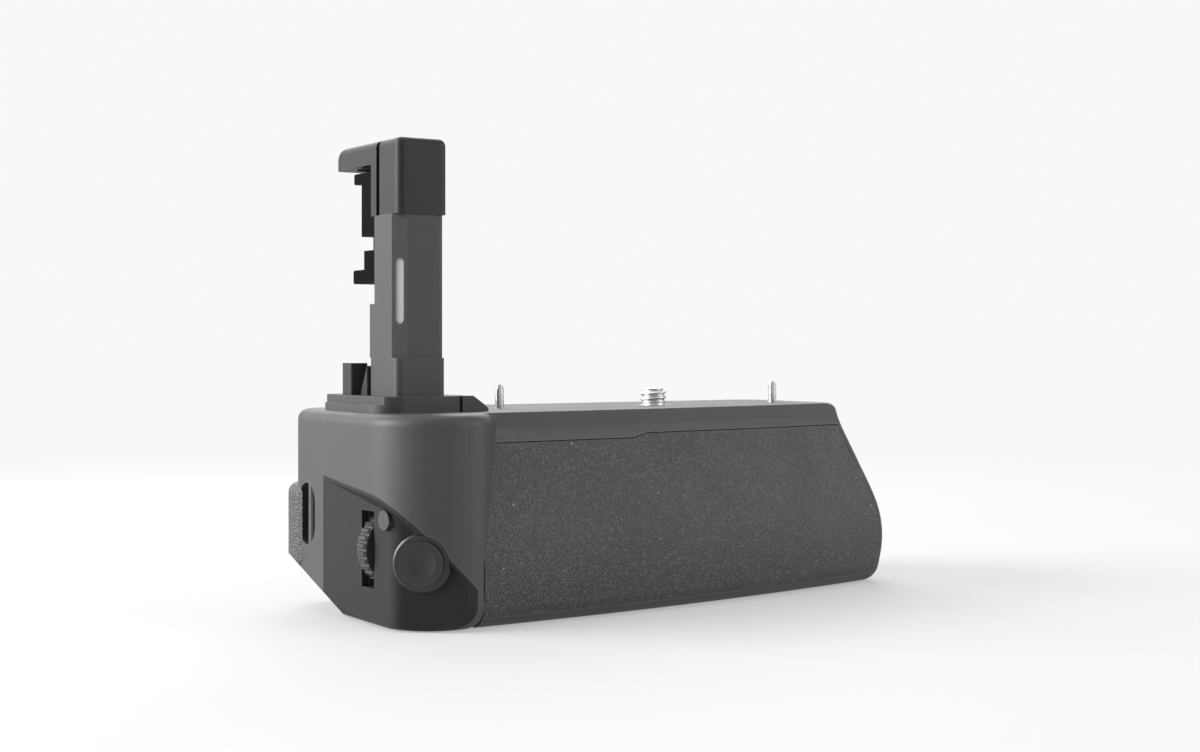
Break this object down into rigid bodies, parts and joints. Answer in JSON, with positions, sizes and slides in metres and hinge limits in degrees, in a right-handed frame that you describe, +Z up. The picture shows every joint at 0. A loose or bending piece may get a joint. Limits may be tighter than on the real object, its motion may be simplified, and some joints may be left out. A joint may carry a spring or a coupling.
{
  "type": "camera battery grip",
  "caption": "Battery grip that screws under a camera, with a stem for its battery well, an attachment wheel, side controls, rubber grip and a slide-out battery magazine.",
  "frame": {"origin": "mouth of the tripod socket in the base, on the axis of the attachment screw", "axes": "+Z up towards the camera, +X towards the end cap of the magazine, -Y towards the rubber grip at the front"},
  "size_m": [0.1468, 0.0647, 0.1052],
  "materials": {
    "casing": "fine matt grain",
    "deck": "satin black",
    "rubber": "fine pebble grain",
    "frame": "moulded, satin",
    "battery": "satin",
    "board": "solder mask",
    "switch": "satin",
    "contact": "gilt",
    "steel": "turned",
    "light_plastic": "matt"
  },
  "bodies": {
    "grip": {"front_shell": "casing", "rear_shell": "casing", "control_deck": "deck", "front_grip_rubber": "rubber", "thumb_rest_rubber": "rubber", "top_plate": "deck", "base_plate": "deck", "base_screws": "steel", "tripod_socket": "steel", "chassis": "frame", "main_board": "board", "bay_contacts": "switch", "screw_bush": "frame", "wheel_axle": "steel", "locating_pin_left": "steel", "locating_pin_right": "steel", "dial_bracket": "frame", "dial_axle": "steel", "shutter_collar": "deck", "shutter_switch": "switch", "function_switch": "switch", "rear_switches": "switch", "stick_base": "deck", "strap_bar": "steel", "stem_base": "casing", "stem_shell": "casing", "stem_cover": "casing", "stem_board": "board", "stem_light_strip": "light_plastic", "stem_head": "casing", "stem_terminals": "contact", "door_holder": "deck", "connector_post": "deck", "connector_contacts": "contact", "stem_gusset": "deck"},
    "screw": {"attachment_screw": "steel", "screw_gear": "steel", "screw_clip": "steel"},
    "wheel": {"attachment_wheel": "deck", "wheel_gear": "steel"},
    "dial": {"main_dial": "deck"},
    "shutter": {"shutter_button": "deck"},
    "function": {"function_button": "deck"},
    "left_key": {"rear_button_left": "deck"},
    "middle_key": {"rear_button_middle": "deck"},
    "right_key": {"rear_button_right": "deck"},
    "stick": {"thumb_stick": "rubber"},
    "lever": {"power_lever": "deck"},
    "magazine": {"magazine_tray": "frame", "battery_inner": "battery", "battery_outer": "battery", "magazine_cap": "casing", "magazine_contacts": "contact"},
    "knob": {"release_knob": "deck", "latch_tongue": "steel"}
  },
  "joints": [
    {"name": "wheel_turn", "type": "hinge", "parent": "grip", "child": "wheel", "pos_m": [0, 0.01656, 0.038], "axis": [0, 0, 1], "continuous": true},
    {"name": "screw_turn", "type": "hinge", "parent": "grip", "child": "screw", "pos_m": [0, 0, 0.04], "axis": [0, 0, 1], "continuous": true},
    {"name": "dial_turn", "type": "hinge", "parent": "grip", "child": "dial", "pos_m": [-0.0757, -0.0112, 0.0165], "axis": [0, 1, 0], "continuous": true},
    {"name": "shutter_press", "type": "slide", "parent": "grip", "child": "shutter", "axis": [0.617, 0.787, 0], "range_m": [0, 0.0012], "stiffness_N_per_m": 1200, "springref_m": -0.0004},
    {"name": "function_press", "type": "slide", "parent": "grip", "child": "function", "axis": [0.9946, 0.104, 0], "range_m": [0, 0.0005], "stiffness_N_per_m": 1200, "springref_m": -0.0004},
    {"name": "left_key_press", "type": "slide", "parent": "grip", "child": "left_key", "axis": [0, -1, 0], "range_m": [0, 0.0006], "stiffness_N_per_m": 1200, "springref_m": -0.0004},
    {"name": "middle_key_press", "type": "slide", "parent": "grip", "child": "middle_key", "axis": [0, -1, 0], "range_m": [0, 0.0006], "stiffness_N_per_m": 1200, "springref_m": -0.0004},
    {"name": "right_key_press", "type": "slide", "parent": "grip", "child": "right_key", "axis": [0, -1, 0], "range_m": [0, 0.0006], "stiffness_N_per_m": 1200, "springref_m": -0.0004},
    {"name": "stick_tilt", "type": "hinge", "parent": "grip", "child": "stick", "pos_m": [-0.06, 0.0294, 0.0215], "axis": [1, 0, 0], "range_deg": [-6, 6], "stiffness_Nm_per_rad": 0.05},
    {"name": "lever_turn", "type": "hinge", "parent": "grip", "child": "lever", "pos_m": [-0.062, 0.0312, 0.0096], "axis": [0, 1, 0], "range_deg": [0, 35]},
    {"name": "magazine_slide", "type": "slide", "parent": "grip", "child": "magazine", "axis": [1, 0, 0], "range_m": [0, 0.12]},
    {"name": "knob_turn", "type": "hinge", "parent": "magazine", "child": "knob", "pos_m": [0.0588, 0.0165, 0.013], "axis": [1, 0, 0], "range_deg": [-90, 0]}
  ],
  "couplings": [
    {"joint": "screw_turn", "follows": "wheel_turn", "ratio": -1}
  ]
}
